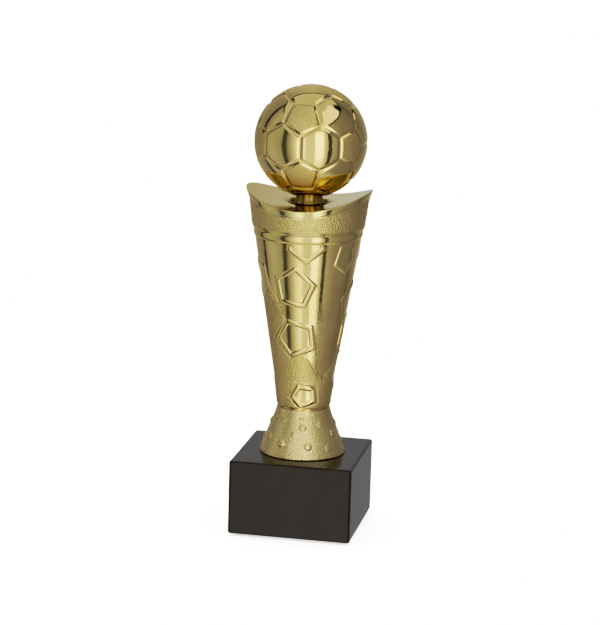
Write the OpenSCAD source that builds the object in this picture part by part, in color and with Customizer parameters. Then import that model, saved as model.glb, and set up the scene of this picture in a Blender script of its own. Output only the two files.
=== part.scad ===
// Football trophy: a mirror-gold ball on a neck spool, a flared column with a
// saddle-shaped lid and a conical foot, clamped on a marble block by one tie rod.
// Millimetres. Origin: centre of the underside. +Z up, -Y is the front.

/* [Marble block] */
// Width and depth of the square block
base_w = 50; // [46:1:60]
// Height of the block
base_h = 30.5; // [26:0.5:40]
// Chamfer along every edge of the block
base_chamfer = 0.7; // [0.3:0.1:1.5]
// Diameter of the pocket under the block, for the nut and washer
pocket_d = 26; // [22:1:30]
// Depth of the pocket under the block
pocket_depth = 12; // [12:0.5:16]
// Diameter of one felt pad
pad_d = 10; // [6:1:11]
// Thickness of one felt pad
pad_t = 0.8; // [0.5:0.1:2]
// Distance of a pad's centre from the block's sides
pad_inset = 8; // [7:0.5:9]

/* [Tie rod] */
// Nominal diameter of the tie rod
rod_d = 5; // [4:0.5:5]
// Height of the two hexagon nuts
nut_h = 4; // [3:0.5:5]
// Width across the flats of the two hexagon nuts
nut_flats = 8; // [8:0.5:9]
// Diameter of the penny washer
washer_d = 20; // [15:1:21]
// Thickness of the penny washer
washer_t = 1.2; // [0.8:0.1:1.6]

/* [Foot cone] */
// Diameter at the bottom of the foot cone
foot_d = 35; // [32:1:42]
// Diameter at the top of the foot cone and at the bottom of the column
waist_d = 21.4; // [20.4:0.2:22.4]
// Height of the foot cone
foot_h = 19; // [16:0.5:22]
// Height of the shadow groove between the foot and the column
groove_h = 0.5; // [0.3:0.1:0.8]
// Wall thickness of the moulded shells
wall = 1.6; // [1.4:0.1:2]

/* [Column] */
// Height of the column, from its bottom edge to the middle of the saddle
column_h = 83.2; // [80:0.1:90]
// Diameter of the shaft where the bottom band ends
shaft_bottom_d = 24; // [23:0.2:25]
// Diameter of the shaft just under the bead
shaft_top_d = 42.8; // [41:0.2:43]
// Diameter at the tips of the flared rim
rim_d = 52; // [50:0.5:54]
// Radius of the scoop that makes the saddle
scoop_r = 54; // [50:1:60]
// How far the raised lines stand out
relief_h = 0.45; // [0.3:0.05:0.7]
// Width of the raised pentagon frames
relief_w = 2.2; // [1:0.1:2.4]
// Width of the thin raised lines between the pentagons
line_w = 0.8; // [0.6:0.1:1.4]

/* [Saddle lid] */
// Thickness of the lid, which is also the polished strip at the rim
lid_t = 2.7; // [2.4:0.1:3.2]
// Diameter of the round pocket that takes the neck
seat_d = 15; // [14.8:0.2:18]
// Depth of that pocket at the middle of the saddle
seat_depth = 1.4; // [1:0.1:1.6]

/* [Neck spool] */
// Diameter of the flange at the bottom of the neck
flange_d = 14.4; // [14:0.2:14.6]
// Diameter of the neck where it leaves its flange
neck_bottom_d = 13; // [12.4:0.2:13.6]
// Diameter at the neck's waist
neck_waist_d = 10.8; // [10.4:0.2:11.6]
// Diameter at the neck's top, under the ball
neck_top_d = 10.8; // [10.4:0.2:12]
// Height of the neck, flange included
neck_h = 4.2; // [3.8:0.1:7]

/* [Ball] */
// Diameter of the ball
ball_d = 45.2; // [44:0.2:47]
// Width of the grooves between the panels
seam_w = 1.8; // [1.2:0.1:2.4]
// Depth of the grooves between the panels
seam_depth = 0.7; // [0.6:0.1:0.9]

/* [Hidden] */
$fn = 96;

fit = 0.1;                 // gap between parts that slide together
rod_gap = 0.75;            // gap round the rod in the parts that it passes through
web_t = 2.5;               // thickness of the webs that carry the clamping load
spigot_h = 1.6;            // height of the spigots that centre one part on the next
spigot_d = waist_d - 4.2;
groove_depth = 1.2;
reach = 200;               // longer than the whole trophy, for cutting solids

hole_d = rod_d + 2 * rod_gap;
base_top = pad_t + base_h;
foot_top = base_top + foot_h;
col_bottom = foot_top + groove_h;
saddle_z = col_bottom + column_h;
neck_z = saddle_z - seat_depth;
neck_top = neck_z + neck_h;
ball_r = ball_d / 2;
ball_z = neck_top + sqrt(ball_r * ball_r - neck_top_d * neck_top_d / 4);

// Tie rod and its two nuts
pocket_top = pad_t + pocket_depth;
base_nut_z = pocket_top - washer_t - nut_h;
rod_z = base_nut_z - 2;
ball_nut_z = neck_top + 6;
rod_top = ball_nut_z + nut_h + 1.5;
boss_top = ball_nut_z + nut_h + 1.2;
boss_r = 7.2;
corner_r = 0.8;            // radius of the small round dimple where three grooves meet
corner_depth = 0.8;
groove_stop = 0.35;        // a groove ends this far short of its corner, inside the dimple

// Heights of the bands on the column, from the column's bottom edge
bottom_band_h = 11.5;
bead_z = column_h - 13.4;
bead_h = 2.6;
band_z = bead_z + bead_h + 0.4;
flare_z = column_h + 1.5;
rim_z = column_h + 8;
band_proud = 0.15;

// Raised frames on the column: [azimuth, height on the column, radius, turn, widening].
// Azimuth 0 is the front and grows towards +X. The front ones come again on the back.
FRONT_FRAMES = [
    [9, 70, 8.6, -88, 1],
    [-5.5, 51.5, 9.4, 10.5, 1],
    [-4.5, 30.5, 8.8, 40.5, 1.1],
    [11, 6, 5.7, 42, 1.17]
];
SIDE_FRAMES = [
    [61, 63.5, 7, 60, 1],
    [93, 44, 9.3, 21.5, 1],
    [101, 15.5, 9.6, 42, 1],
    [118, 64, 6.8, 60, 1],
    [-66.5, 53, 9, 44, 1],
    [-119, 64, 6.8, 60, 1],
    [-114, 36, 7.5, 18, 1],
    [-112, 15.5, 6.5, 42, 1]
];

// Raised straight lines that join the frames: [azimuth, height, length, slope]
LINES = [
    [-25, 41.3, 6, -68],
    [-35, 47, 6.5, -52],
    [30, 17.3, 14, -52],
    [77, 30.5, 10.7, 86]
];

// Football pattern: a truncated icosahedron with a seam upright at the front
PHI = (1 + sqrt(5)) / 2;
SIGNS = [-1, 1];
ICO = [
    for (a = SIGNS, b = SIGNS, c = [0, 1, 2])
        c == 0 ? [0, a * PHI, b] : c == 1 ? [a * PHI, b, 0] : [b, 0, a * PHI]
];
function near(p, q) = norm(p - q) < 2.1;
function unit(v) = v / norm(v);
function third(p, q) = (2 * p + q) / 3;
LAST = len(ICO) - 1;
HEX_SEAMS = [
    for (i = [0:LAST], j = [0:LAST])
        if (i < j && near(ICO[i], ICO[j])) [third(ICO[i], ICO[j]), third(ICO[j], ICO[i])]
];
PENTAGON_SEAMS = [
    for (v = [0:LAST], i = [0:LAST], j = [0:LAST])
        if (i < j && v != i && v != j && near(ICO[v], ICO[i]) && near(ICO[v], ICO[j])
            && near(ICO[i], ICO[j])) [third(ICO[v], ICO[i]), third(ICO[v], ICO[j])]
];
SEAMS = concat(HEX_SEAMS, PENTAGON_SEAMS);
CORNERS = [
    for (i = [0:LAST], j = [0:LAST])
        if (i != j && near(ICO[i], ICO[j])) unit(third(ICO[i], ICO[j]))
];

module hexagon(flats) {
    circle(d = flats / cos(30), $fn = 6);
}

module chamfered_rectangle(w, h, c) {
    polygon([
        [c - w / 2, -h / 2], [w / 2 - c, -h / 2], [w / 2, c - h / 2], [w / 2, h / 2 - c],
        [w / 2 - c, h / 2], [c - w / 2, h / 2], [-w / 2, h / 2 - c], [-w / 2, c - h / 2]
    ]);
}

module chamfered_block(w, h, c) {
    intersection() {
        linear_extrude(h) chamfered_rectangle(w, w, c);
        translate([0, w / 2, h / 2]) rotate([90, 0, 0]) linear_extrude(w) chamfered_rectangle(w, h, c);
        translate([-w / 2, 0, h / 2]) rotate([90, 0, 90]) linear_extrude(w) chamfered_rectangle(w, h, c);
    }
}

module nut() {
    difference() {
        linear_extrude(nut_h) hexagon(nut_flats);
        translate([0, 0, -1]) cylinder(d = rod_d + fit, h = nut_h + 2);
    }
}

module marble_base() {
    color("#2b2622") difference() {
        translate([0, 0, pad_t]) chamfered_block(base_w, base_h, base_chamfer);
        translate([0, 0, pad_t - 1]) cylinder(d = pocket_d, h = pocket_depth + 1);
        translate([0, 0, pad_t]) cylinder(d = hole_d, h = base_h + 1);
    }
}

module felt_pads() {
    offset_xy = base_w / 2 - pad_inset;
    color("#1c1c1c") for (x = SIGNS, y = SIGNS)
        translate([x * offset_xy, y * offset_xy, 0]) cylinder(d = pad_d, h = pad_t);
}

module base_washer() {
    color("silver") translate([0, 0, pocket_top - washer_t]) difference() {
        cylinder(d = washer_d, h = washer_t);
        translate([0, 0, -1]) cylinder(d = rod_d + 0.4, h = washer_t + 2);
    }
}

module base_nut() {
    color("silver") translate([0, 0, base_nut_z]) nut();
}

module ball_nut() {
    color("silver") translate([0, 0, ball_nut_z]) nut();
}

module tie_rod() {
    tip = 0.8;
    color("gray") translate([0, 0, rod_z]) rotate_extrude() polygon([
        [0, 0], [rod_d / 2 - tip, 0], [rod_d / 2, tip], [rod_d / 2, rod_top - rod_z - tip],
        [rod_d / 2 - tip, rod_top - rod_z], [0, rod_top - rod_z]
    ]);
}

module foot_cone() {
    foot_r = foot_d / 2;
    waist_r = waist_d / 2;
    lip = 0.6;
    neck_down = 3;
    color("goldenrod") translate([0, 0, base_top]) rotate_extrude() polygon([
        [foot_r - wall, 0], [foot_r - lip / 2, 0], [foot_r, lip], [waist_r + 0.8, foot_h - neck_down],
        [waist_r, foot_h], [waist_r - groove_depth, foot_h], [waist_r - groove_depth, foot_h + groove_h],
        [spigot_d / 2 - fit, foot_h + groove_h], [spigot_d / 2 - fit, foot_h + groove_h + spigot_h - fit],
        [hole_d / 2, foot_h + groove_h + spigot_h - fit], [hole_d / 2, foot_h - web_t],
        [waist_r - wall, foot_h - web_t]
    ]);
}

// Outside of the column as a solid; grow pushes its sides outwards
module column_outside(grow) {
    bead_r = shaft_top_d / 2 + 0.6;
    band_r = bead_r + 0.5;
    flare_r = rim_d / 2 - 2;
    rotate_extrude() polygon([
        [0, 0], [waist_d / 2 + grow, 0],
        [shaft_bottom_d / 2 + band_proud + grow, bottom_band_h],
        [shaft_bottom_d / 2 + grow, bottom_band_h + 0.3],
        [shaft_top_d / 2 + grow, bead_z], [bead_r + grow, bead_z + 0.5],
        [bead_r + grow, bead_z + bead_h - 0.3], [bead_r - 0.3 + grow, bead_z + bead_h],
        [band_r + grow, band_z], [flare_r + grow, flare_z],
        [rim_d / 2 + grow, rim_z], [0, rim_z]
    ]);
}

module column_cavity() {
    rotate_extrude() polygon([
        [0, web_t + spigot_h], [shaft_bottom_d / 2 - wall - 1, web_t + spigot_h],
        [shaft_top_d / 2 - wall, bead_z], [rim_d / 2 - 2 - wall, flare_z],
        [rim_d / 2 - wall, rim_z + 1], [0, rim_z + 1]
    ]);
}

// Everything above a scoop whose lowest line is at height z
module scoop(z) {
    translate([0, 0, z + scoop_r]) rotate([90, 0, 0]) cylinder(r = scoop_r, h = reach, center = true, $fn = 180);
}

// Stands a flat shape up against the column at an azimuth and a height
module on_column(azimuth, height) {
    rotate([0, 0, azimuth]) translate([0, 0, height]) rotate([90, 0, 0]) linear_extrude(rim_d) children();
}

module raised_frame(f, half) {
    on_column(half + f[0], f[1]) scale([f[4], 1]) rotate(f[3]) difference() {
        circle(r = f[2], $fn = 5);
        circle(r = f[2] - relief_w / cos(36), $fn = 5);
    }
}

module raised_lines() {
    for (half = [0, 180], f = FRONT_FRAMES) raised_frame(f, half);
    for (f = SIDE_FRAMES) raised_frame(f, 0);
    for (l = LINES) on_column(l[0], l[1]) rotate(l[3]) square([l[2], line_w], center = true);
}

// The shaft between its bottom edge and its bead, with grow added: it limits the raised lines
module line_zone(grow) {
    low = 0.6;
    slope = (shaft_top_d - shaft_bottom_d) / 2 / (bead_z - bottom_band_h);
    low_r = (waist_d + (shaft_bottom_d - waist_d) * low / bottom_band_h) / 2 + band_proud;
    rotate_extrude() polygon([
        [0, low], [low_r + grow, low], [shaft_bottom_d / 2 + band_proud + grow, bottom_band_h],
        [shaft_top_d / 2 + grow - slope * 0.4, bead_z - 0.4], [0, bead_z - 0.4]
    ]);
}

module column_shell() {
    color("gold") translate([0, 0, col_bottom]) difference() {
        union() {
            column_outside(0);
            intersection() {
                line_zone(relief_h);
                raised_lines();
            }
        }
        column_cavity();
        scoop(column_h - lid_t);
        translate([0, 0, -1]) cylinder(d = spigot_d, h = spigot_h + 1);
        cylinder(d = hole_d, h = reach);
    }
}

module saddle_lid() {
    plug_r = rim_d / 2 - 2 - wall - 0.6;
    boss_d = seat_d + 5;
    plug_h = 4;
    color("gold") translate([0, 0, col_bottom]) difference() {
        union() {
            difference() {
                column_outside(0);
                scoop(column_h);
                difference() {
                    translate([0, 0, reach / 2 - 1]) cube(reach, center = true);
                    scoop(column_h - lid_t);
                }
            }
            difference() {
                translate([0, 0, column_h - lid_t - plug_h]) cylinder(r = plug_r, h = plug_h + lid_t);
                translate([0, 0, column_h - lid_t - plug_h - 1]) cylinder(r = plug_r - wall, h = plug_h + lid_t);
                scoop(column_h - lid_t / 2);
            }
            translate([0, 0, column_h - seat_depth - web_t]) cylinder(d = boss_d, h = web_t);
        }
        translate([0, 0, column_h - seat_depth]) cylinder(d = seat_d, h = reach);
        cylinder(d = hole_d, h = reach);
    }
}

// Radius of the neck at height z above its flange: a smooth waist
function neck_r(u) = (neck_bottom_d * (1 - u) + neck_top_d * u) / 2
    - ((neck_bottom_d + neck_top_d) / 2 - neck_waist_d) / 2 * sin(180 * u);

module neck_spool() {
    flange_t = 0.7;
    steps = 10;
    color("darkgoldenrod") translate([0, 0, neck_z]) rotate_extrude() polygon(concat(
        [[hole_d / 2, 0], [flange_d / 2 - 0.2, 0], [flange_d / 2, 0.2], [flange_d / 2, flange_t - 0.2],
         [flange_d / 2 - 0.2, flange_t]],
        [for (i = [0:steps]) [neck_r(i / steps), flange_t + (neck_h - flange_t) * i / steps]],
        [[hole_d / 2, neck_h]]
    ));
}

// V-shaped cutters along the seams, and dimples at their corners, on the given side of the ball
module seam_cutters(side) {
    for (s = SEAMS) {
        up = unit(s[0] + s[1]);
        along = unit(s[1] - s[0]);
        across = cross(up, along);
        length = norm(unit(s[1]) - unit(s[0])) * ball_r - 2 * groove_stop;
        if (up.y * side > -0.3)
            multmatrix([
                [along.x, across.x, up.x, 0],
                [along.y, across.y, up.y, 0],
                [along.z, across.z, up.z, 0],
                [0, 0, 0, 1]
            ])
            translate([-length / 2, 0, ball_r])
            rotate([90, 0, 90])
            linear_extrude(length) polygon([[0, -seam_depth], [seam_w, seam_depth], [-seam_w, seam_depth]]);
    }
    for (c = CORNERS)
        if (c.y * side > -0.3)
            rotate([0, acos(c.z), atan2(c.y, c.x)])
            translate([0, 0, ball_r - corner_depth])
            cylinder(r = corner_r, h = 2 * corner_depth);
}

// The boss inside the ball that traps the ball nut
module nut_boss() {
    translate([0, 0, neck_top]) cylinder(r = boss_r, h = boss_top - neck_top);
}

module ball_half(side) {
    inner_r = ball_r - wall;
    difference() {
        intersection() {
            union() {
                translate([0, 0, ball_z]) difference() {
                    sphere(r = ball_r);
                    sphere(r = inner_r);
                    seam_cutters(side);
                }
                intersection() {
                    nut_boss();
                    translate([0, 0, ball_z]) sphere(r = inner_r + 0.2);
                }
            }
            translate([0, side * reach / 2, reach / 2 + neck_top]) cube([reach, reach, reach], center = true);
        }
        translate([0, 0, neck_top - 1]) cylinder(d = hole_d, h = boss_top - neck_top + 2);
        translate([0, 0, ball_nut_z - fit]) linear_extrude(nut_h + 2 * fit) hexagon(nut_flats + 2 * fit);
    }
}

// Lip inside the front half that guides the back half
module joint_lip() {
    inner_r = ball_r - wall;
    lip_w = 1.6;
    lip_t = 0.9;
    difference() {
        translate([0, 0, ball_z]) union() {
            intersection() {
                difference() {
                    sphere(r = inner_r - fit);
                    sphere(r = inner_r - lip_t);
                }
                cube([reach, 2 * lip_w, reach], center = true);
            }
            intersection() {
                difference() {
                    sphere(r = inner_r + 0.3);
                    sphere(r = inner_r - lip_t);
                }
                translate([0, -lip_w / 2, 0]) cube([reach, lip_w, reach], center = true);
            }
        }
        translate([0, 0, neck_top - 1]) cylinder(r = boss_r + 0.4, h = ball_r);
    }
}

module ball_front_half() {
    color("gold") union() {
        ball_half(-1);
        joint_lip();
    }
}

module ball_back_half() {
    color("gold") ball_half(1);
}

marble_base();
felt_pads();
base_washer();
base_nut();
tie_rod();
foot_cone();
column_shell();
saddle_lid();
neck_spool();
ball_front_half();
ball_back_half();
ball_nut();
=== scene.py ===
# Visual model of the football trophy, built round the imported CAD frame.
# Shapes are worked out in millimetres and turned into metres when a mesh is made.
import math

import bmesh
import bpy
import numpy as np
from mathutils import Matrix, Vector, noise


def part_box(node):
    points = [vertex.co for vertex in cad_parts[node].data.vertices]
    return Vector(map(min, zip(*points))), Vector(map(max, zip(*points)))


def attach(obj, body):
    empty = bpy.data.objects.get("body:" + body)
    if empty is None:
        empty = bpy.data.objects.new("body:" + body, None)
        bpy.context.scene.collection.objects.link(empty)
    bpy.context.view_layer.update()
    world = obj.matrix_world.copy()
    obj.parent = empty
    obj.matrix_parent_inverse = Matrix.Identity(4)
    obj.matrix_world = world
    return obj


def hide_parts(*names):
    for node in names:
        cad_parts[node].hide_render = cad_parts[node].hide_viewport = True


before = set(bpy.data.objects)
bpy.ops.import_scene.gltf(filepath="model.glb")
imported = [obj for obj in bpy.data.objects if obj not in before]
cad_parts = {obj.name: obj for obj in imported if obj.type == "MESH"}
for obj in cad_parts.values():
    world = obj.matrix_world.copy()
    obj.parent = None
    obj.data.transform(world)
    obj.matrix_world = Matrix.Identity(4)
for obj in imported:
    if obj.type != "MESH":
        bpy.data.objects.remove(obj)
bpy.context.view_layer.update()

MM = 0.001
TAU = 2 * math.pi
BODY = "root"


def cad_mm(node):
    """Lowest and highest corner of a CAD node, in millimetres."""
    low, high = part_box(node)
    return np.array(low) / MM, np.array(high) / MM


BLOCK_LOW, BLOCK_HIGH = cad_mm("marble_base")
PADS_LOW, PADS_HIGH = cad_mm("felt_pads")
WASHER_LOW, WASHER_HIGH = cad_mm("base_washer")
BASE_NUT_LOW, BASE_NUT_HIGH = cad_mm("base_nut")
ROD_LOW, ROD_HIGH = cad_mm("tie_rod")
NECK_LOW, NECK_HIGH = cad_mm("neck_spool")
BALL_LOW, BALL_HIGH = cad_mm("ball_front_half")
BALL_NUT_LOW, BALL_NUT_HIGH = cad_mm("ball_nut")

BLOCK_TOP = BLOCK_HIGH[2]
COLUMN_BOTTOM = cad_mm("column_shell")[0][2]
NECK_Z, NECK_TOP = NECK_LOW[2], NECK_HIGH[2]
SEAT_DEPTH = 1.4
SADDLE_Z = NECK_Z + SEAT_DEPTH
BALL_R = (BALL_HIGH[0] - BALL_LOW[0]) / 2
BALL_Z = BALL_HIGH[2] - BALL_R
WALL = 1.6
BORE_R = 3.25
WEB = 2.5
SCOOP_R = 54.0
LID_T = 2.7
SPIGOT_R = 8.6
SPIGOT_H = 1.6


# ---------------------------------------------------------------- mesh helpers
def smoothstep(low, high, x):
    t = np.clip((x - low) / (high - low), 0, 1)
    return t * t * (3 - 2 * t)


def loft(rows):
    """Closed grid: every row is a ring of points, and the last row joins the first."""
    n, m = rows.shape[:2]
    i, j = np.arange(n)[:, None], np.arange(m)[None, :]
    i2, j2 = (i + 1) % n, (j + 1) % m
    faces = np.stack([i * m + j, i * m + j2, i2 * m + j2, i2 * m + j], -1).reshape(-1, 4)
    return rows.reshape(-1, 3), outwards(rows.reshape(-1, 3), faces)


def outwards(verts, faces):
    """The faces, all turned over if their closed shape has a negative volume."""
    a, b, c, d = (verts[faces[:, k]] for k in range(4))
    volume = (np.einsum("ij,ij->i", a, np.cross(b, c)) + np.einsum("ij,ij->i", a, np.cross(c, d))).sum()
    return faces if volume > 0 else faces[:, ::-1]


def merge(shapes):
    verts, faces, start = [], [], 0
    for v, f in shapes:
        verts.append(v)
        faces.append(f + start)
        start += len(v)
    return np.concatenate(verts), np.concatenate(faces)


def new_mesh(name, verts, faces, sharp=35):
    mesh = bpy.data.meshes.new(name)
    mesh.from_pydata((np.asarray(verts) * MM).tolist(), [], faces.tolist())
    mesh.validate()
    mesh.polygons.foreach_set("use_smooth", np.ones(len(mesh.polygons), bool))
    mesh.set_sharp_from_angle(angle=math.radians(sharp))
    return mesh


def add_piece(name, mesh, materials, slot, *nodes):
    piece = bpy.data.objects.new(name, mesh)
    bpy.context.scene.collection.objects.link(piece)
    mesh.materials.clear()
    for material in materials:
        mesh.materials.append(material)
    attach(piece, BODY)
    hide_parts(*nodes)
    return piece


def points_of(mesh):
    co = np.empty(len(mesh.vertices) * 3, np.float32)
    mesh.vertices.foreach_get("co", co)
    return co.reshape(-1, 3).astype(float) / MM


def paint(mesh, name, values):
    layer = mesh.attributes.new(name, "FLOAT", "POINT")
    layer.data.foreach_set("value", np.asarray(values, np.float32))


def rounded(corners, steps=5):
    """Closed outline in (r, z) from (r, z, fillet) corners, each turned into a small curve."""
    out = []
    pts = np.array([c[:2] for c in corners], float)
    for k, (r, z, fillet) in enumerate(corners):
        here, before, after = pts[k], pts[k - 1], pts[(k + 1) % len(pts)]
        if fillet <= 0:
            out.append(here)
            continue
        to_a, to_b = before - here, after - here
        size = min(fillet, 0.45 * np.linalg.norm(to_a), 0.45 * np.linalg.norm(to_b))
        a = here + to_a / np.linalg.norm(to_a) * size
        b = here + to_b / np.linalg.norm(to_b) * size
        for t in np.linspace(0, 1, steps + 1):
            out.append((1 - t) ** 2 * a + 2 * t * (1 - t) * here + t * t * b)
    return np.array(out)


def ring_points(azimuth, r, z):
    """Azimuth 0 is the front, -Y, and grows towards +X."""
    r, z = np.broadcast_arrays(r, z)
    return np.stack([r * np.sin(azimuth), -r * np.cos(azimuth), z + 0 * azimuth], -1)


def lathe(corners, columns=192, steps=5):
    outline = rounded(corners, steps)
    az = np.arange(columns) / columns * TAU
    return loft(ring_points(az[None, :], outline[:, :1] + 0 * az, outline[:, 1:] + 0 * az))


def pebbles(points, grain):
    """Rounded pebbles of about the given size: 0 in the cracks, 1 on the tops."""
    out = np.empty(len(points))
    for k, p in enumerate((points / grain).tolist()):
        d = noise.voronoi(p, distance_metric="DISTANCE_SQUARED")[0]
        out[k] = min(1.0, (d[1] - d[0]) * 1.6)
    return out


def ripples(points, size):
    return np.array([noise.noise(p) for p in (points / size).tolist()])


def boolean(target, tool, operation):
    """The mesh of target with tool's shape added, cut away or kept."""
    a = bpy.data.objects.new("target", target)
    b = bpy.data.objects.new("tool", tool)
    for o in (a, b):
        bpy.context.scene.collection.objects.link(o)
    cut = a.modifiers.new("cut", "BOOLEAN")
    cut.operation, cut.object, cut.solver = operation, b, "MANIFOLD"
    bpy.context.view_layer.update()
    made = bpy.data.meshes.new_from_object(a.evaluated_get(bpy.context.evaluated_depsgraph_get()))
    for o in (a, b):
        bpy.data.objects.remove(o)
    return made


# ---------------------------------------------------------------- node helpers
class Nodes:
    """Short names for making and joining shader nodes."""

    def __init__(self, tree):
        self.tree = tree
        tree.nodes.clear()

    def new(self, kind, inputs=None, **settings):
        node = self.tree.nodes.new("ShaderNode" + kind)
        for name, value in settings.items():
            setattr(node, name, value)
        for name, value in (inputs or {}).items():
            self.put(node.inputs[name], value)
        return node

    def put(self, socket, value):
        if isinstance(value, bpy.types.NodeSocket):
            self.tree.links.new(value, socket)
        else:
            socket.default_value = value

    def math(self, operation, a, b=0.0, clamp=False):
        return self.new("Math", {0: a, 1: b}, operation=operation, use_clamp=clamp).outputs[0]

    def step(self, value, low, high, out_low=0.0, out_high=1.0):
        inputs = {"Value": value, "From Min": low, "From Max": high, "To Min": out_low, "To Max": out_high}
        return self.new("MapRange", inputs, interpolation_type="SMOOTHSTEP").outputs[0]

    def blend(self, share, a, b):
        """a where share is 0 and b where share is 1, for plain numbers."""
        return self.math("ADD", self.math("MULTIPLY", self.math("SUBTRACT", 1.0, share), a),
                         self.math("MULTIPLY", share, b))

    def ramp(self, value, stops):
        node = self.new("ValToRGB", {"Fac": value})
        ramp = node.color_ramp
        while len(ramp.elements) > 1:
            ramp.elements.remove(ramp.elements[-1])
        for k, (position, colour) in enumerate(stops):
            stop = ramp.elements[0] if k == 0 else ramp.elements.new(position)
            stop.position = position
            stop.color = (*colour, 1) if isinstance(colour, tuple) else (colour, colour, colour, 1)
        return node.outputs["Color"]

    def noise(self, scale, detail=3.0, where=None, roughness=0.5):
        inputs = {"Scale": scale, "Detail": detail, "Roughness": roughness,
                  "Vector": where or self.place()}
        return self.new("TexNoise", inputs).outputs["Fac"]

    def place(self):
        return self.new("TexCoord").outputs["Object"]

    def bump(self, height, distance, strength=1.0, normal=None):
        inputs = {"Height": height, "Distance": distance, "Strength": strength}
        if normal is not None:
            inputs["Normal"] = normal
        return self.new("Bump", inputs).outputs["Normal"]

    def surface(self, shader):
        self.put(self.new("OutputMaterial").inputs["Surface"], shader)


def new_material(name):
    material = bpy.data.materials.new(name)
    material.use_nodes = True
    return material, Nodes(material.node_tree)


# ---------------------------------------------------------------- materials
# Brown for the painted shade round the neck's seat on the lid.
SEAT_SHADE_BROWN = (0.3, 0.21, 0.05)


def gold(name, colour, polish, matte, stipple_depth=0.00026, stipple_scale=2000.0):
    """Plated gold: mirror-bright, matte and grained where stipple is 1, and darkened to brown by painted
    shade where the seat-shade attribute is 1.
    """
    material, n = new_material(name)
    painted_seat_shade = n.new("Attribute", attribute_name="painted_seat_shade").outputs["Fac"]
    stipple = n.new("Attribute", attribute_name="stipple").outputs["Fac"]
    cloud = n.noise(90.0, 4.0)
    fine = n.noise(700.0, 3.0)
    dull = tuple(c * f for c, f in zip(colour, (0.93, 0.9, 0.84)))
    base = n.ramp(cloud, [(0.35, dull), (0.62, colour)])
    base = n.new("Mix", {0: painted_seat_shade, 6: base, 7: (*SEAT_SHADE_BROWN, 1.0)}, data_type="RGBA").outputs[2]
    smear = n.step(fine, 0.35, 0.75, polish * 0.75, polish * 1.5)
    rough = n.blend(stipple, smear, n.step(fine, 0.3, 0.7, matte * 0.85, matte * 1.12))
    wave = n.bump(n.noise(210.0, 2.0), 0.00010, 0.35)
    orange_peel = n.bump(n.noise(900.0, 2.0), 0.000012, 0.5, wave)
    grains = n.new("TexVoronoi", {"Scale": stipple_scale, "Vector": n.place()},
                   feature="SMOOTH_F1").outputs[0]
    relief = n.math("MULTIPLY", grains, stipple)
    normal = n.bump(relief, stipple_depth, 0.9, orange_peel)
    shader = n.new("BsdfPrincipled", {"Base Color": base, "Metallic": 1.0, "Roughness": rough,
                                      "Specular Tint": (1.0, 0.96, 0.83, 1.0), "Normal": normal})
    n.surface(shader.outputs[0])
    return material


def marble(name, dark, light, polish):
    material, n = new_material(name)
    mottle = n.noise(130.0, 6.0, roughness=0.62)
    veins = n.noise(70.0, 5.0, roughness=0.7)
    from_vein = n.math("ABSOLUTE", n.math("SUBTRACT", veins, 0.5))
    vein = n.math("MULTIPLY", n.step(from_vein, 0.0, 0.018, 1.0, 0.0), 0.22)
    base = n.ramp(n.math("ADD", mottle, vein), [(0.3, dark), (0.75, light)])
    rough = n.step(n.noise(380.0, 4.0), 0.3, 0.75, polish * 0.8, polish * 1.5)
    normal = n.bump(n.noise(500.0, 3.0), 0.00001, 0.35)
    shader = n.new("BsdfPrincipled", {"Base Color": base, "Roughness": rough, "Normal": normal,
                                      "IOR": 1.48, "Specular Tint": (1.0, 0.88, 0.79, 1.0)})
    n.surface(shader.outputs[0])
    return material


def zinc_steel():
    material, n = new_material("zinc_steel")
    spangle = n.noise(450.0, 5.0)
    base = n.ramp(spangle, [(0.3, (0.42, 0.43, 0.43)), (0.7, (0.66, 0.66, 0.63))])
    rough = n.step(n.noise(1500.0, 4.0), 0.3, 0.75, 0.24, 0.46)
    normal = n.bump(n.noise(2200.0, 3.0), 0.00002, 0.4)
    shader = n.new("BsdfPrincipled", {"Base Color": base, "Metallic": 1.0, "Roughness": rough,
                                      "Normal": normal})
    n.surface(shader.outputs[0])
    return material


def black_felt():
    material, n = new_material("black_felt")
    fibres = n.noise(3200.0, 6.0, roughness=0.75)
    base = n.ramp(fibres, [(0.3, (0.008, 0.008, 0.009)), (0.75, (0.045, 0.044, 0.047))])
    normal = n.bump(fibres, 0.0002, 0.8)
    shader = n.new("BsdfPrincipled", {"Base Color": base, "Roughness": 0.95, "Sheen Weight": 0.35,
                                      "Normal": normal})
    n.surface(shader.outputs[0])
    return material


GOLD_COLOUR = (0.82, 0.67, 0.31)
BALL_GOLD = gold("ball_gold", GOLD_COLOUR, 0.05, 0.42, 0.00026, 2600.0)
COLUMN_GOLD = gold("column_gold", GOLD_COLOUR, 0.09, 0.40)
# The neck's gold is darkened to deep brown: painted shade under the ball.
SHADED_NECK_GOLD = gold("neck_gold_painted_shade", (0.34, 0.235, 0.065), 0.1, 0.3)
LID_GOLD = gold("lid_gold", (0.82, 0.71, 0.34), 0.09, 0.4)
FOOT_GOLD = gold("foot_gold", (0.86, 0.72, 0.38), 0.2, 0.4)
# Near-black gold for the foot's top face and spigot: painted shade in the gap under the column.
GAP_SHADE_GOLD = gold("gap_painted_shade", (0.1, 0.06, 0.018), 0.4, 0.5)
BLOCK_MARBLE = marble("block_marble", (0.011, 0.007, 0.0045), (0.029, 0.02, 0.015), 0.10)
EDGE_MARBLE = marble("edge_marble", (0.002, 0.0012, 0.001), (0.006, 0.004, 0.003), 0.5)
STEEL = zinc_steel()
FELT = black_felt()


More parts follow.
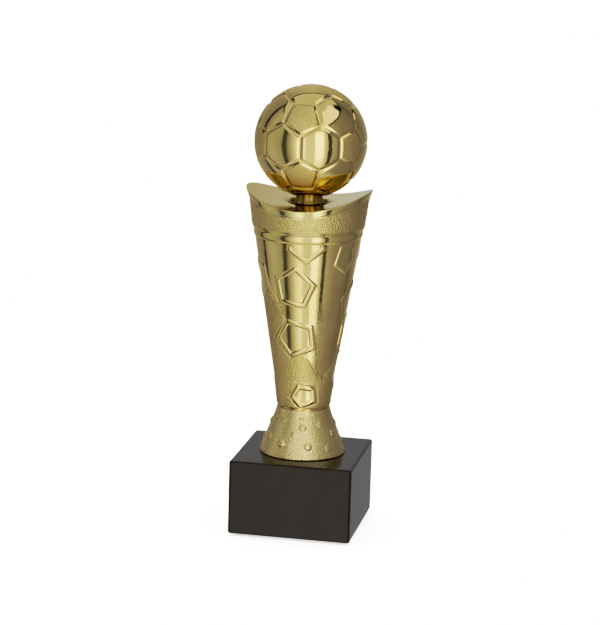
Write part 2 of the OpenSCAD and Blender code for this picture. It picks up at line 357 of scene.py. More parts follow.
# ---------------------------------------------------------------- column
BEAD_Z = COLUMN_BOTTOM + 69.8
BAND_Z = BEAD_Z + 4.4
COLUMN_PROFILE = np.array([  # height above the column's bottom, radius
    (0, 10.7), (11.3, 12.13), (11.5, 12.15), (11.8, 12.0), (69.8, 21.4), (70.1, 21.62), (70.6, 21.9),
    (71.2, 22.0), (71.8, 22.02), (72.4, 22.0), (72.8, 22.05), (73.2, 22.2), (73.8, 22.5), (74.4, 22.7),
    (84.7, 24.0), (91.2, 26.0),
])


def column_radius(z):
    return np.interp(z - COLUMN_BOTTOM, COLUMN_PROFILE[:, 0], COLUMN_PROFILE[:, 1])


def saddle_height(r, azimuth, level):
    """Height of the scooped surface whose lowest line is at level."""
    return level + SCOOP_R - np.sqrt(SCOOP_R**2 - np.square(r * np.sin(azimuth)))


def rim_edge(azimuth, level):
    """Where the column's side meets that surface: radius and height."""
    z = np.full_like(azimuth, level + 3)
    for _ in range(20):
        z = saddle_height(column_radius(z), azimuth, level)
    return column_radius(z), z


# Pentagon frames: azimuth, height above the column's bottom, radius, turn, widening.
FRONT_FRAMES = [
    (9, 70, 8.6, -88, 1), (-5.5, 51.5, 9.4, 10.5, 1), (-4.5, 30.5, 8.8, 40.5, 1.1),
    (11, 6, 5.7, 42, 1.17),
]
SIDE_FRAMES = [
    (61, 63.5, 7, 60, 1), (93, 44, 9.3, 21.5, 1), (101, 15.5, 9.6, 42, 1), (118, 64, 6.8, 60, 1),
    (-66.5, 53, 9, 44, 1), (-119, 64, 6.8, 60, 1), (-114, 36, 7.5, 18, 1), (-112, 15.5, 6.5, 42, 1),
]
PENTAGONS = FRONT_FRAMES + [(f[0] + 180, *f[1:]) for f in FRONT_FRAMES] + SIDE_FRAMES
# Thin ridges: azimuth, height, length, slope.
RIDGES = [(-25, 41.3, 6, -68), (-35, 47, 6.5, -52), (30, 17.3, 14, -52), (77, 30.5, 10.7, 86)]
FRAME_WIDTH = 2.2
FRAME_HEIGHT = 0.42
RIDGE_WIDTH = 0.8
SUNK = -0.5
LINES_LOW, LINES_HIGH = COLUMN_BOTTOM + 0.6, BEAD_Z - 0.3
# Upper edge of the grained part of one half: azimuth, height above the column's bottom.
GRAIN_EDGE = np.array([(-90, 51.5), (-60, 51.5), (-37, 45.5), (-31.7, 44.25), (-21.5, 38.7), (10.5, 23),
                       (36, 13.9), (80, 11.5), (90, 11.5)])


def on_column(azimuth0, x, z, height):
    """Point of the column's side, x to the right of the azimuth and height proud of the surface."""
    buried = SUNK - 0.3 * (1 - (height - SUNK))
    height = np.where((z < LINES_LOW) | (z > LINES_HIGH), buried, height)
    r = column_radius(z) + height
    return ring_points(math.radians(azimuth0) + np.arcsin(np.clip(x / r, -0.98, 0.98)), r, z)


def pentagon_frame(azimuth, height, radius, turn, widening):
    half = FRAME_WIDTH / 2
    outline = [(-half, SUNK), (-half, 0.0), (-half + 0.12, 0.09), (-0.62, 0.27), (-0.42, 0.33),
               (0.0, FRAME_HEIGHT), (0.42, 0.33), (0.62, 0.27), (half - 0.12, 0.09), (half, 0.0),
               (half, SUNK)]
    middle = radius * math.cos(math.pi / 5) - FRAME_WIDTH / 2
    steps = 12
    rows = []
    for across, proud in outline:
        corner_r = (middle + across) / math.cos(math.pi / 5)
        angles = np.radians(turn) + np.arange(6) * TAU / 5
        corners = np.stack([np.cos(angles), np.sin(angles)], 1) * corner_r
        t = (np.arange(steps) / steps)[:, None]
        path = np.concatenate([corners[k] * (1 - t) + corners[k + 1] * t for k in range(5)])
        rows.append(on_column(azimuth, path[:, 0] * widening, COLUMN_BOTTOM + height + path[:, 1], proud))
    return loft(np.array(rows))


def thin_ridge(azimuth, height, length, slope):
    steps = 24
    half = RIDGE_WIDTH / 2
    outline = [(-half, SUNK), (-half, 0.0), (-0.16, 0.3), (0.16, 0.3), (half, 0.0), (half, SUNK)]
    along = np.linspace(-length / 2, length / 2, steps)
    ends = np.minimum(1, 4 * (1 - np.abs(along) / (length / 2 + 0.01)))
    direction = np.array([math.cos(math.radians(slope)), math.sin(math.radians(slope))])
    side = np.array([-direction[1], direction[0]])
    rings = []
    for k, s in enumerate(along):
        ring = []
        for across, proud in outline:
            p = direction * s + side * across
            ring.append(on_column(azimuth, p[0], COLUMN_BOTTOM + height + p[1],
                                  proud if proud <= 0 else proud * ends[k]))
        rings.append(ring)
    verts = np.array(rings).reshape(-1, 3)
    m = len(outline)
    faces = [(k * m + j, k * m + (j + 1) % m, (k + 1) * m + (j + 1) % m, (k + 1) * m + j)
             for k in range(steps - 1) for j in range(m)]
    for start, order in ((0, (0, 5, 4, 1)), (0, (1, 4, 3, 2)),
                         ((steps - 1) * m, (0, 1, 4, 5)), ((steps - 1) * m, (1, 2, 3, 4))):
        faces.append(tuple(start + j for j in order))
    return verts, outwards(verts, np.array(faces))


def pentagon_distance(azimuth, z):
    """Distance outside the nearest pentagon's outer edge; negative inside it."""
    nearest = np.full(np.broadcast(azimuth, z).shape, 1e3)
    for az0, height, radius, turn, widening in PENTAGONS:
        away = (azimuth - math.radians(az0) + math.pi) % TAU - math.pi
        x = column_radius(z) * np.sin(away) / widening
        y = z - COLUMN_BOTTOM - height
        d = np.full_like(nearest, -1e3)
        for k in range(5):
            a = math.radians(turn + 36 + 72 * k)
            d = np.maximum(d, x * math.cos(a) + y * math.sin(a))
        d = np.where(np.abs(away) < 1.5, d - radius * math.cos(math.pi / 5), 1e3)
        nearest = np.minimum(nearest, d)
    return nearest


def grained_share(azimuth, z):
    """1 on the grained part of the shaft, 0 on the polished part."""
    degrees = (np.degrees(azimuth) + 90) % 180 - 90
    edge = COLUMN_BOTTOM + np.interp(degrees, GRAIN_EDGE[:, 0], GRAIN_EDGE[:, 1])
    below = 1 - smoothstep(-0.35, 0.35, z - edge)
    outside = smoothstep(-0.2, 0.2, pentagon_distance(azimuth, z))
    return below * outside * smoothstep(COLUMN_BOTTOM + 0.3, COLUMN_BOTTOM + 0.8, z)


def band_share(azimuth, z, top):
    """1 on the grained band between the bead and the lid's polished strip."""
    start = smoothstep(BAND_Z + 0.1, BAND_Z + 0.4, z)
    end = 1 - smoothstep(-0.6, -0.2, z - top)
    return start * end


# Rows of the column's side over the bead, as heights above the column's bottom
BEAD_ROWS = [69.8, 69.95, 70.1, 70.35, 70.6, 70.9, 71.2, 71.5, 71.8, 72.1, 72.4, 72.8, 73.2, 73.5,
             73.8, 74.1]
SHAFT_ROWS, BAND_ROWS, COLUMN_COLUMNS = 176, 25, 376
COLUMN_GRAIN = 0.5
PLATEAU, GRAIN_RISE, HAZE = 0.16, 0.13, 0.38


def column_inside(az, edge_r):
    """Rings of the hollow, from the rim's inner edge down to the spigot hole in the floor."""
    web_top = COLUMN_BOTTOM + WEB + SPIGOT_H
    hole_top = COLUMN_BOTTOM + SPIGOT_H
    rings = [ring_points(az, edge_r - WALL, saddle_height(edge_r - WALL, az, SADDLE_Z - LID_T))]
    for radius, height in ((19.8, BEAD_Z), (9.4, web_top), (BORE_R, web_top), (BORE_R, hole_top),
                           (SPIGOT_R, hole_top), (SPIGOT_R, COLUMN_BOTTOM)):
        rings.append(ring_points(az, 0 * az + radius, 0 * az + height))
    return np.array(rings)


def column():
    columns = COLUMN_COLUMNS
    az = np.arange(columns) / columns * TAU
    edge_r, edge_z = rim_edge(az, SADDLE_Z - LID_T)
    shaft = np.linspace(0.0, 69.7, SHAFT_ROWS)
    fixed = COLUMN_BOTTOM + np.concatenate([shaft, BEAD_ROWS])
    z = np.repeat(fixed[:, None], columns, 1)
    t = np.linspace(0, 1, BAND_ROWS + 1)[1:, None]
    start = fixed[-1]
    z = np.concatenate([z, start + (edge_z - start)[None, :] * t])
    a = np.repeat(az[None, :], len(z), 0)
    r = column_radius(z)
    grain = grained_share(a, z) * (z < BEAD_Z)
    band = band_share(a, z, edge_z[None, :]) * (z > BAND_Z)
    stipple = np.maximum(grain, band)
    flat = ring_points(a, r, z).reshape(-1, 3)
    rough = np.zeros(len(flat))
    chosen = stipple.reshape(-1) > 0.01
    rough[chosen] = pebbles(flat[chosen], COLUMN_GRAIN)
    r = r + grain * PLATEAU + stipple * (rough.reshape(r.shape) - 0.5) * GRAIN_RISE
    outer = ring_points(a, r, z)
    inner = column_inside(az, edge_r)
    body = loft(np.concatenate([outer, inner]))
    degrees = np.degrees(a)
    side = smoothstep(20, 28, degrees) * (1 - smoothstep(120, 160, degrees))
    haze = HAZE * side * (1 - smoothstep(COLUMN_BOTTOM + 32, COLUMN_BOTTOM + 52, z))
    share = np.concatenate([np.maximum(stipple, haze).reshape(-1), np.zeros(len(inner) * columns)])
    frames = [pentagon_frame(*p) for p in PENTAGONS]
    ridges = [thin_ridge(*p) for p in RIDGES]
    verts, faces = merge([body] + frames + ridges)
    mesh = new_mesh("column", verts, faces, 50)
    paint(mesh, "stipple", np.concatenate([share, np.zeros(len(verts) - len(share))]))
    add_piece("column", mesh, [COLUMN_GOLD], "gold_column", "column_shell")


def lid():
    az = np.arange(360) / 360 * TAU
    low = SADDLE_Z - LID_T
    foot_r, foot_z = rim_edge(az, low)
    top_r, top_z = rim_edge(az, SADDLE_Z)
    proud = 0.12
    up = np.stack([top_r - foot_r, top_z - foot_z], -1)
    up /= np.linalg.norm(up, axis=1)[:, None]
    corner = np.stack([top_r + proud, top_z], -1)
    below = corner - up * 0.6
    inside = np.stack([top_r - 0.6, saddle_height(top_r - 0.6, az, SADDLE_Z)], -1)
    rows = [ring_points(az, foot_r + 0.02, foot_z + 0.02)]
    bottom = np.stack([foot_r + proud, foot_z + 0.2], -1)
    for t in np.linspace(0, 1, 7):
        p = bottom * (1 - t) + below * t
        rows.append(ring_points(az, p[:, 0], p[:, 1]))
    for t in np.linspace(0, 1, 7)[1:]:
        p = (1 - t) ** 2 * below + 2 * t * (1 - t) * corner + t * t * inside
        rows.append(ring_points(az, p[:, 0], p[:, 1]))
    seat_r = 7.5
    lip_r = seat_r + 0.75
    for t in np.linspace(0, 1, 36)[1:]:
        r = (top_r - 0.6) * (1 - t) + (seat_r + 0.15) * t
        swell = 0.5 * np.exp(-np.square((r - lip_r) / 0.6))
        rows.append(ring_points(az, r, saddle_height(r, az, SADDLE_Z) + swell))
    seat_edge = saddle_height(seat_r, az, SADDLE_Z)
    for r, z in ((seat_r + 0.04, seat_edge - 0.0), (seat_r, seat_edge - 0.3), (seat_r, 0 * az + NECK_Z + 0.1),
                 (seat_r - 0.1, 0 * az + NECK_Z), (BORE_R, 0 * az + NECK_Z), (BORE_R, 0 * az + NECK_Z - WEB),
                 (10.7, 0 * az + NECK_Z - WEB)):
        rows.append(ring_points(az, 0 * az + r, z))
    for t in np.linspace(0, 1, 10)[:-1]:
        r = 10.7 * (1 - t) + foot_r * t
        rows.append(ring_points(az, r, saddle_height(r, az, low)))
    verts, faces = loft(np.array(rows))
    mesh = new_mesh("lid", verts, faces, 50)
    paint(mesh, "stipple", np.zeros(len(verts)))
    from_axis = np.hypot(verts[:, 0], verts[:, 1])
    # Painted shade: the lid darkens to brown near the neck's seat, fading out by 11.5 mm from the axis.
    paint(mesh, "painted_seat_shade", 0.85 * (1 - smoothstep(8.4, 11.5, from_axis)))
    add_piece("lid", mesh, [LID_GOLD], "gold_column", "saddle_lid")


# ---------------------------------------------------------------- foot, neck
# Raised studs on the foot: azimuth, height above the block, radius, rise. The other half repeats them.
STUDS = [(8.5, 15.9, 1.0, 0.3), (11, 12.5, 1.6, 0.42), (-23, 6, 1.8, 0.5), (19, 5.5, 1.8, 0.5),
         (-53, 7.6, 1.8, 0.5), (45, 13.5, 1.5, 0.2), (52, 4.2, 1.8, 0.25), (-29.5, 14.5, 1.5, 0.22),
         (-3, 10, 1.4, 0.2), (70, 9.5, 1.7, 0.45), (-82, 12.5, 1.6, 0.42), (96, 5.5, 1.8, 0.5)]


def foot():
    columns = 400
    az = np.arange(columns) / columns * TAU
    heights = np.linspace(0, 19, 112)
    profile = np.array([(0, 17.2), (0.35, 17.5), (0.7, 17.42), (16, 11.5), (19, 10.7)])
    z = np.repeat((BLOCK_TOP + heights)[:, None], columns, 1)
    a = np.repeat(az[None, :], len(z), 0)
    r = np.interp(z - BLOCK_TOP, profile[:, 0], profile[:, 1])
    flat = ring_points(a, r, z).reshape(-1, 3)
    away_from_edge = smoothstep(0.0, 1.0, z - BLOCK_TOP) * smoothstep(0.0, 0.6, BLOCK_TOP + 18.9 - z)
    grain = pebbles(flat, 0.5).reshape(r.shape)
    broad = ripples(flat, 1.7).reshape(r.shape)
    r = r + away_from_edge * ((grain - 0.5) * 0.085 + broad * 0.03)
    for half in (0, 180):
        for az0, height, radius, rise in STUDS:
            away = (a - math.radians(half + az0) + math.pi) % TAU - math.pi
            d = np.hypot(r * away, (z - BLOCK_TOP - height) * 1.05)
            r = r + rise * (1 - smoothstep(radius * 0.45, radius, d))
    chips = ripples(flat[:columns], 1.3)
    z[0] = BLOCK_TOP + 0.02
    r[0] = r[0] + chips * 0.15
    outer = ring_points(a, r, z)
    top = BLOCK_TOP + 19
    inner = [(9.5, top), (9.5, top + 0.48), (8.5, top + 0.48), (8.5, top + 1.98), (BORE_R, top + 1.98),
             (BORE_R, top - WEB), (9.1, top - WEB), (15.9, BLOCK_TOP + 0.02)]
    rows = np.array([ring_points(az, 0 * az + r0, z0) for r0, z0 in inner])
    verts, faces = loft(np.concatenate([outer, rows]))
    mesh = new_mesh("foot", verts, faces, 60)
    outside = np.full(outer.shape[0] * columns, 0.55)
    paint(mesh, "stipple", np.concatenate([outside, np.zeros(len(inner) * columns)]))
    # Faces at the foot's top, inside the gap under the column, get the painted shade material.
    for face in mesh.polygons:
        face.material_index = int(face.center.z > (top - 0.01) * MM)
    add_piece("foot", mesh, [FOOT_GOLD, GAP_SHADE_GOLD], "gold_foot", "foot_cone")


def neck():
    """Spool that flares from the ball down to its flange in one hollow curve."""
    flange, flange_r, top_r = 0.5, 7.2, 5.3
    height = NECK_TOP - NECK_Z
    corners = [(BORE_R, NECK_Z, 0), (flange_r, NECK_Z, 0.2), (flange_r, NECK_Z + flange, 0.3)]
    for t in np.linspace(0, 1, 17):
        r = top_r + (flange_r - 0.5 - top_r) * (1 - t) ** 1.5
        corners.append((r, NECK_Z + flange + (height - flange) * t, 0))
    corners.append((BORE_R, NECK_TOP, 0))
    verts, faces = lathe(corners, 160)
    mesh = new_mesh("neck", verts, faces, 45)
    paint(mesh, "stipple", np.zeros(len(verts)))
    add_piece("neck", mesh, [SHADED_NECK_GOLD], "gold_neck", "neck_spool")


# ---------------------------------------------------------------- ball
PHI = (1 + math.sqrt(5)) / 2
VERTICES = np.array([p for s in (-1, 1) for t in (-1, 1)
                     for p in ((0, s * PHI, t), (s * PHI, t, 0), (t, 0, s * PHI))], float)
FACE_TRIPLES = [(i, j, k) for i in range(12) for j in range(i) for k in range(j)
                if max(np.linalg.norm(VERTICES[i] - VERTICES[j]), np.linalg.norm(VERTICES[j] - VERTICES[k]),
                       np.linalg.norm(VERTICES[i] - VERTICES[k])) < 2.1]
PENTAGON_SPAN, HEXAGON_SPAN = 2.32744, 2.26728  # distance of the flat panels, in edge lengths
GROOVE_HALF, GROOVE_DEPTH = 1.45, 0.43


def geodesic(steps):
    """Fine ball of unit radius made of small triangles."""
    grids, triangles, start = [], [], 0
    for i, j, k in FACE_TRIPLES:
        a, b, c = VERTICES[i], VERTICES[j], VERTICES[k]
        if np.dot(np.cross(b - a, c - a), a) < 0:
            b, c = c, b
        index = {}
        points = []
        for p in range(steps + 1):
            for q in range(steps + 1 - p):
                index[p, q] = start + len(points)
                points.append(a * (steps - p - q) + b * p + c * q)
        for p in range(steps):
            for q in range(steps - p):
                triangles.append((index[p, q], index[p + 1, q], index[p, q + 1]))
                if p + q < steps - 1:
                    triangles.append((index[p + 1, q], index[p + 1, q + 1], index[p, q + 1]))
        start += len(points)
        grids.append(np.array(points))
    points = np.concatenate(grids)
    points /= np.linalg.norm(points, axis=1)[:, None]
    _, first, back = np.unique(np.round(points * 1e6).astype(np.int64), axis=0, return_index=True,
                                  return_inverse=True)
    return points[first], back.reshape(-1)[np.array(triangles)]


def panels():
    centres = [v / np.linalg.norm(v) for v in VERTICES]
    spans = [PENTAGON_SPAN] * 12
    for i, j, k in FACE_TRIPLES:
        c = VERTICES[i] + VERTICES[j] + VERTICES[k]
        centres.append(c / np.linalg.norm(c))
        spans.append(HEXAGON_SPAN)
    return np.array(centres) / np.array(spans)[:, None]


def panel_facts(directions):
    """For each direction: distance to the nearest seam in millimetres, and whether it is a pentagon."""
    scaled = panels()
    reach = directions @ scaled.T
    order = np.argsort(-reach, axis=1)[:, :2]
    across = scaled[order[:, 0]] - scaled[order[:, 1]]
    across /= np.linalg.norm(across, axis=1)[:, None]
    seam = BALL_R * np.arcsin(np.clip(np.einsum("ij,ij->i", directions, across), -1, 1))
    return seam, order[:, 0] < 12


def cylinder_mesh(name, radius, low, high, sides=96, turn=0.0):
    az = np.arange(sides) / sides * TAU + turn
    verts = np.concatenate([ring_points(az, 0 * az + radius, low), ring_points(az, 0 * az + radius, high)])
    mesh = bpy.data.meshes.new(name)
    faces = [tuple(range(sides)), tuple(range(2 * sides - 1, sides - 1, -1))]
    faces += [(k, k + sides, (k + 1) % sides + sides, (k + 1) % sides) for k in range(sides)]
    mesh.from_pydata((verts * MM).tolist(), [], faces)
    fix_normals(mesh)
    return mesh


def box_mesh(name, low, high):
    bm = bmesh.new()
    bmesh.ops.create_cube(bm, size=1)
    size = (np.array(high) - np.array(low)) * MM
    middle = (np.array(high) + np.array(low)) / 2 * MM
    bmesh.ops.transform(bm, verts=bm.verts, matrix=Matrix.Translation(middle) @ Matrix.Diagonal((*size, 1)))
    mesh = bpy.data.meshes.new(name)
    bm.to_mesh(mesh)
    bm.free()
    return mesh


def fix_normals(mesh):
    bm = bmesh.new()
    bm.from_mesh(mesh)
    bmesh.ops.recalc_face_normals(bm, faces=bm.faces)
    bm.to_mesh(mesh)
    bm.free()


def ball():
    directions, triangles = geodesic(128)
    seam, pentagon = panel_facts(directions)
    groove = np.where(np.abs(seam) < GROOVE_HALF, np.cos(math.pi * seam / (2 * GROOVE_HALF)) ** 2, 0)
    surface = directions * (BALL_R - GROOVE_DEPTH * groove)[:, None] + np.array([0, 0, BALL_Z])
    whole = bpy.data.meshes.new("whole_ball")
    whole.from_pydata((surface * MM).tolist(), [], triangles.tolist())
    # The hollow, with the boss for the nut left standing in it
    hollow = bpy.data.meshes.new("hollow")
    bm = bmesh.new()
    bmesh.ops.create_icosphere(bm, subdivisions=5, radius=(BALL_R - WALL) * MM)
    bmesh.ops.translate(bm, verts=bm.verts, vec=(0, 0, BALL_Z * MM))
    bm.to_mesh(hollow)
    bm.free()
    boss_top = BALL_NUT_HIGH[2] + 1.2
    hollow = boolean(hollow, cylinder_mesh("boss", 7.2, NECK_TOP - 5, boss_top), "DIFFERENCE")
    whole = boolean(whole, hollow, "DIFFERENCE")
    whole = boolean(whole, cylinder_mesh("bore", BORE_R, NECK_TOP - 5, boss_top + 5), "DIFFERENCE")
    across = BALL_NUT_HIGH[1] - BALL_NUT_LOW[1]
    nut_r = max(across / 2 / math.cos(math.pi / 6) + 0.15, 4.7)
    nut_space = cylinder_mesh("nut_space", nut_r, BALL_NUT_LOW[2] - 0.1, BALL_NUT_HIGH[2] + 0.1, 6, TAU / 12)
    whole = boolean(whole, nut_space, "DIFFERENCE")
    big = 60
    for name, node, side in (("ball_front", "ball_front_half", -1), ("ball_back", "ball_back_half", 1)):
        gap = 0.02
        low = (-big, gap if side > 0 else -big, NECK_TOP)
        high = (big, big if side > 0 else -gap, BALL_Z + big)
        mesh = boolean(whole.copy(), box_mesh("side", low, high), "INTERSECT")
        mesh.name = name
        mesh.polygons.foreach_set("use_smooth", np.ones(len(mesh.polygons), bool))
        mesh.set_sharp_from_angle(angle=math.radians(50))
        local = points_of(mesh) - np.array([0, 0, BALL_Z])
        distance = np.linalg.norm(local, axis=1)
        seam, pentagon = panel_facts(local / distance[:, None])
        share = smoothstep(GROOVE_HALF - 0.5, GROOVE_HALF, seam) * pentagon * (distance > BALL_R - 0.8)
        paint(mesh, "stipple", share)
        add_piece(name, mesh, [BALL_GOLD], "gold_ball", node)


# ---------------------------------------------------------------- block and fasteners
def block():
    mesh = box_mesh("block", BLOCK_LOW, BLOCK_HIGH)
    bm = bmesh.new()
    bm.from_mesh(mesh)
    bmesh.ops.bevel(bm, geom=bm.edges[:], offset=1.0 * MM, offset_type="OFFSET", segments=5, profile=0.5,
                    affect="EDGES", material=1)
    bm.to_mesh(mesh)
    bm.free()
    pocket_top = WASHER_HIGH[2]
    mesh = boolean(mesh, cylinder_mesh("pocket", 13.0, BLOCK_LOW[2] - 1, pocket_top, 128), "DIFFERENCE")
    mesh = boolean(mesh, cylinder_mesh("bore", BORE_R, BLOCK_LOW[2] - 1, BLOCK_TOP + 1, 64), "DIFFERENCE")
    mesh.name = "block"
    mesh.polygons.foreach_set("use_smooth", np.ones(len(mesh.polygons), bool))
    mesh.set_sharp_from_angle(angle=math.radians(6))
    add_piece("block", mesh, [BLOCK_MARBLE, EDGE_MARBLE], "black_marble", "marble_base")


def felt_pads():
    height = PADS_HIGH[2] - PADS_LOW[2]
    reach = (PADS_HIGH[0] - PADS_LOW[0]) / 2
    radius = 5.0
    offset = reach - radius
    shapes = []
    for sx in (-1, 1):
        for sy in (-1, 1):
            outline = rounded([(0.02, 0, 0), (radius * 0.5, 0, 0), (radius, 0, 0.25), (radius, height, 0.3),
                               (radius * 0.5, height, 0), (0.02, height, 0)], 4)
            az = np.arange(96) / 96 * TAU
            rows = ring_points(az[None, :], outline[:, :1] + 0 * az, outline[:, 1:] + 0 * az)
            fuzz = ripples((rows + np.array([sx, sy, 0]) * 31).reshape(-1, 3), 0.5).reshape(rows.shape[:2])
            near_side = smoothstep(radius * 0.8, radius, np.hypot(rows[..., 0], rows[..., 1]))
            rows[..., :2] *= (1 - 0.008 + 0.012 * fuzz * near_side)[..., None]
            verts, faces = loft(rows)
            shapes.append((verts + np.array([sx * offset, sy * offset, PADS_LOW[2]]), faces))
    verts, faces = merge(shapes)
    add_piece("felt_feet", new_mesh("felt_feet", verts, faces), [FELT], "felt", "felt_pads")


def washer():
    outer = (WASHER_HIGH[0] - WASHER_LOW[0]) / 2
    low, high = WASHER_LOW[2], WASHER_HIGH[2]
    verts, faces = lathe([(2.7, low, 0.1), (outer, low, 0.3), (outer, high, 0.12), (2.7, high, 0.1)], 128)
    add_piece("washer", new_mesh("washer", verts, faces), [STEEL], "zinc_steel", "base_washer")


def nut(name, node, low, high):
    az = np.arange(192) / 192 * TAU
    flats = 4.0
    hexagon = flats / np.cos((az + math.pi / 6) % (TAU / 6) - math.pi / 6)
    rows = []
    for limit, z in ((3.0, low), (3.85, low), (4.62, low + 0.42), (4.62, high - 0.42), (3.85, high),
                     (3.0, high)):
        rows.append(ring_points(az, np.minimum(hexagon, limit), z))
    for z in (high - 0.45, low + 0.45):
        rows.append(ring_points(az, 0 * az + 2.55, z))
    verts, faces = loft(np.array(rows))
    add_piece(name, new_mesh(name, verts, faces, 25), [STEEL], "zinc_steel", node)


def rod():
    """Threaded rod: a round bar whose radius follows a screw thread."""
    low, high = ROD_LOW[2], ROD_HIGH[2]
    pitch, major, depth = 0.8, 2.49, 0.4
    sides = 24
    az = np.arange(sides) / sides * TAU
    z = np.arange(low, high, pitch / 6)
    z = np.append(z, high)
    phase = (z[:, None] / pitch + az[None, :] / TAU) % 1
    r = major - depth * np.clip(np.abs(phase - 0.5) * 2.6 - 0.2, 0, 1)
    chamfer = np.minimum(z - low, high - z)[:, None]
    r = np.minimum(r, major - 0.8 + chamfer)
    rows = ring_points(az[None, :], r, z[:, None] + 0 * r)
    caps = [ring_points(az, 0 * az + 0.02, height)[None] for height in (high, low)]
    verts, faces = loft(np.concatenate([rows, caps[0], caps[1]]))
    add_piece("threaded_rod", new_mesh("threaded_rod", verts, faces, 50), [STEEL], "zinc_steel", "tie_rod")


column()
lid()
foot()
neck()
ball()
block()
felt_pads()
washer()
nut("nut_below", "base_nut", BASE_NUT_LOW[2], BASE_NUT_HIGH[2])
nut("nut_in_ball", "ball_nut", BALL_NUT_LOW[2], BALL_NUT_HIGH[2])
rod()


# ---------------------------------------------------------------- camera
YAW, ELEVATION, ROLL = math.radians(11.02), math.radians(12.38), math.radians(1.63)
TARGET = Vector((0, 0, 0.0888))
DISTANCE = 0.9355
FOCAL_PX, LONG_SIDE_PX, SENSOR = 2314, 625, 36
AIM_LEFT = math.radians(0.1506)


def add_camera():
    level = math.cos(ELEVATION)
    back = Vector((math.sin(YAW) * level, -math.cos(YAW) * level, math.sin(ELEVATION)))
    right = (-back).cross(Vector((0, 0, 1))).normalized()
    up = right.cross(-back)
    right, up = (math.cos(ROLL) * right + math.sin(ROLL) * up, math.cos(ROLL) * up - math.sin(ROLL) * right)
    axes = Matrix((right, up, back)).transposed()
    axes = axes @ Matrix.Rotation(AIM_LEFT, 3, "Y")
    data = bpy.data.cameras.new("camera")
    data.sensor_width = SENSOR
    data.lens = FOCAL_PX / LONG_SIDE_PX * SENSOR
    data.clip_start, data.clip_end = 0.01, 20
    camera = bpy.data.objects.new("camera", data)
    bpy.context.scene.collection.objects.link(camera)
    camera.matrix_world = Matrix.Translation(TARGET + back * DISTANCE) @ axes.to_4x4()
    bpy.context.scene.camera = camera


# ---------------------------------------------------------------- light and floor
# The studio tent, as brightness by azimuth from the camera's side, in degrees, positive to the right.
TENT_WALLS = [
    (-180, 0.5), (-150, 0.32), (-119.5, 0.27), (-118.5, 0.03), (-112.5, 0.03), (-111.5, 0.3),
    (-90, 0.45), (-72, 0.4), (-61, 0.34), (-60, 0.08), (-51.5, 0.08), (-50, 0.25), (-40, 0.5),
    (-30, 0.7), (0, 0.74), (28, 0.65), (35.5, 0.58), (36.5, 0.075), (43.5, 0.075), (44.5, 0.45),
    (56, 0.36), (72, 0.28), (96, 0.25), (118, 0.2), (120, 0.05), (122, 0.2), (150, 0.3), (180, 0.5),
]
SOFTBOXES = [
    (-42, 0.0), (-32, 0.08), (-24, 0.42), (-18, 0.58), (-13, 0.5), (-9, 0.05), (7, 0.02), (10.5, 0.8),
    (14, 0.88), (22, 0.86), (27, 0.6), (29.5, 0.05), (34, 0.0),
]
CEILING, CEILING_PANEL, FLOOR_LIGHT = 0.57, 0.45, 0.6


def around(stops):
    return [((az + 180) / 360, value) for az, value in stops]


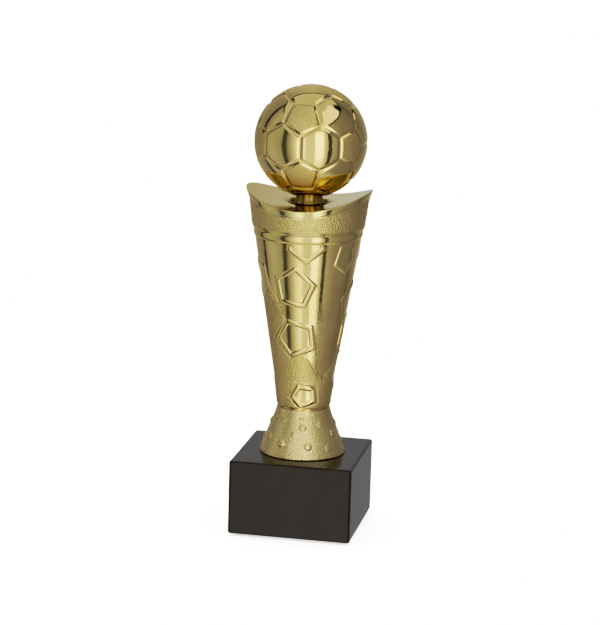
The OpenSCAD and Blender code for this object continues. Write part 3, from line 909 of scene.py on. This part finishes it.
def add_studio():
    world = bpy.data.worlds.new("studio")
    bpy.context.scene.world = world
    world.use_nodes = True
    n = Nodes(world.node_tree)
    turned = n.new("VectorRotate", {"Vector": n.new("TexCoord").outputs["Generated"], "Axis": (0, 0, 1),
                                    "Angle": -YAW}).outputs[0]
    parts = n.new("SeparateXYZ", {"Vector": turned}).outputs
    towards_camera = n.math("MULTIPLY", parts[1], -1.0)
    azimuth = n.math("MULTIPLY", n.math("ARCTAN2", parts[0], towards_camera), 180 / math.pi)
    elevation = n.math("MULTIPLY", n.math("ARCSINE", parts[2]), 180 / math.pi)
    share = n.math("ADD", n.math("DIVIDE", azimuth, 360.0), 0.5)
    walls = n.ramp(share, around(TENT_WALLS))
    boxes = n.ramp(share, around(SOFTBOXES))
    box_rise = n.math("MULTIPLY", n.step(elevation, -62.0, -18.0), n.step(elevation, 22.0, 30.0, 1.0, 0.0))
    low_walls = n.math("ADD", walls, n.math("MULTIPLY", boxes, box_rise))
    size = n.math("ABSOLUTE", azimuth)
    past_strip = n.math("MAXIMUM", n.math("SUBTRACT", size, 44.0), 0.0)
    edge = n.math("ADD", n.math("MULTIPLY", past_strip, 0.171), 37.0)
    above = n.math("SUBTRACT", elevation, edge)
    ceiling_share = n.step(above, -0.7, 0.7)
    panel = n.math("MULTIPLY", n.step(azimuth, 26.0, 32.0), n.step(azimuth, 98.0, 104.0, 1.0, 0.0))
    panel = n.math("MULTIPLY", panel, n.step(elevation, 68.0, 62.0, 0.0, 1.0))
    ceiling = n.math("ADD", CEILING, n.math("MULTIPLY", panel, CEILING_PANEL))
    light = n.blend(ceiling_share, low_walls, ceiling)
    at_edge = n.step(n.math("ABSOLUTE", above), 0.8, 1.8, 0.85, 0.0)
    line = n.math("MULTIPLY", at_edge, n.step(size, 40.0, 44.0))
    light = n.math("MULTIPLY", light, n.math("SUBTRACT", 1.0, line))
    gap = n.math("MULTIPLY", n.step(azimuth, 98.0, 102.0), n.step(azimuth, 114.0, 118.0, 1.0, 0.0))
    gap = n.math("MULTIPLY", gap, n.math("MULTIPLY", n.step(elevation, 43.0, 46.0),
                                         n.step(elevation, 55.0, 58.0, 1.0, 0.0)))
    light = n.math("MULTIPLY", light, n.math("SUBTRACT", 1.0, n.math("MULTIPLY", gap, 0.95)))
    floor_share = n.step(elevation, -62.0, -50.0, 1.0, 0.0)
    light = n.blend(floor_share, light, FLOOR_LIGHT)
    tent = n.new("Background", {"Color": (1, 1, 1, 1), "Strength": light})
    white = n.new("Background", {"Color": (1, 1, 1, 1), "Strength": WHITE_POINT})
    seen = n.new("LightPath").outputs["Is Camera Ray"]
    mixed = n.new("MixShader", {"Fac": seen, 1: tent.outputs[0], 2: white.outputs[0]})
    n.put(n.new("OutputWorld").inputs["Surface"], mixed.outputs[0])


FLOOR_Z = -0.05 * MM  # just under the felt, so that the two never share a plane


def add_floor():
    size = 3.0
    mesh = bpy.data.meshes.new("floor")
    corners = [(-size, -size), (size, -size), (size, size), (-size, size)]
    mesh.from_pydata([(x, y, FLOOR_Z) for x, y in corners], [], [(0, 1, 2, 3)])
    material, n = new_material("pale_floor")
    matte = n.new("BsdfDiffuse", {"Color": (0.8, 0.8, 0.79, 1)})
    # Camera rays see the floor as a white glow that ambient occlusion dims near the trophy: a painted contact
    # shadow.
    shade = n.new("AmbientOcclusion", {"Distance": 0.05}, samples=16).outputs["AO"]
    glow = n.new("Emission", {"Color": (1, 1, 1, 1), "Strength": n.step(shade, 0.0, 0.8, 0.7, WHITE_POINT)})
    seen = n.new("LightPath").outputs["Is Camera Ray"]
    mixed = n.new("MixShader", {"Fac": seen, 1: matte.outputs[0], 2: glow.outputs[0]})
    n.surface(mixed.outputs[0])
    mesh.materials.append(material)
    floor = bpy.data.objects.new("floor", mesh)
    bpy.context.scene.collection.objects.link(floor)
    floor.visible_glossy = False


# Tone curve, as (light, answer): darks fall away, mids rise a little and lights roll off to white.
WHITE_POINT = 2.0
RESPONSE = [(0.0, 0.0), (0.016, 0.006), (0.04, 0.027), (0.087, 0.067), (0.138, 0.109), (0.2, 0.19),
            (0.262, 0.287), (0.332, 0.362), (0.43, 0.479), (0.65, 0.64), (0.93, 0.791), (1.3, 0.885),
            (2.0, 1.0)]


def add_response():
    settings = bpy.context.scene.view_settings
    settings.view_transform = "Standard"
    settings.use_curve_mapping = True
    mapping = settings.curve_mapping
    mapping.white_level = (WHITE_POINT,) * 3
    points = mapping.curves[3].points
    points[0].location, points[-1].location = (0, 0), (1, 1)
    for light, answer in RESPONSE[1:-1]:
        points.new(light / WHITE_POINT, answer)
    mapping.update()


add_camera()
add_response()
add_studio()
add_floor()
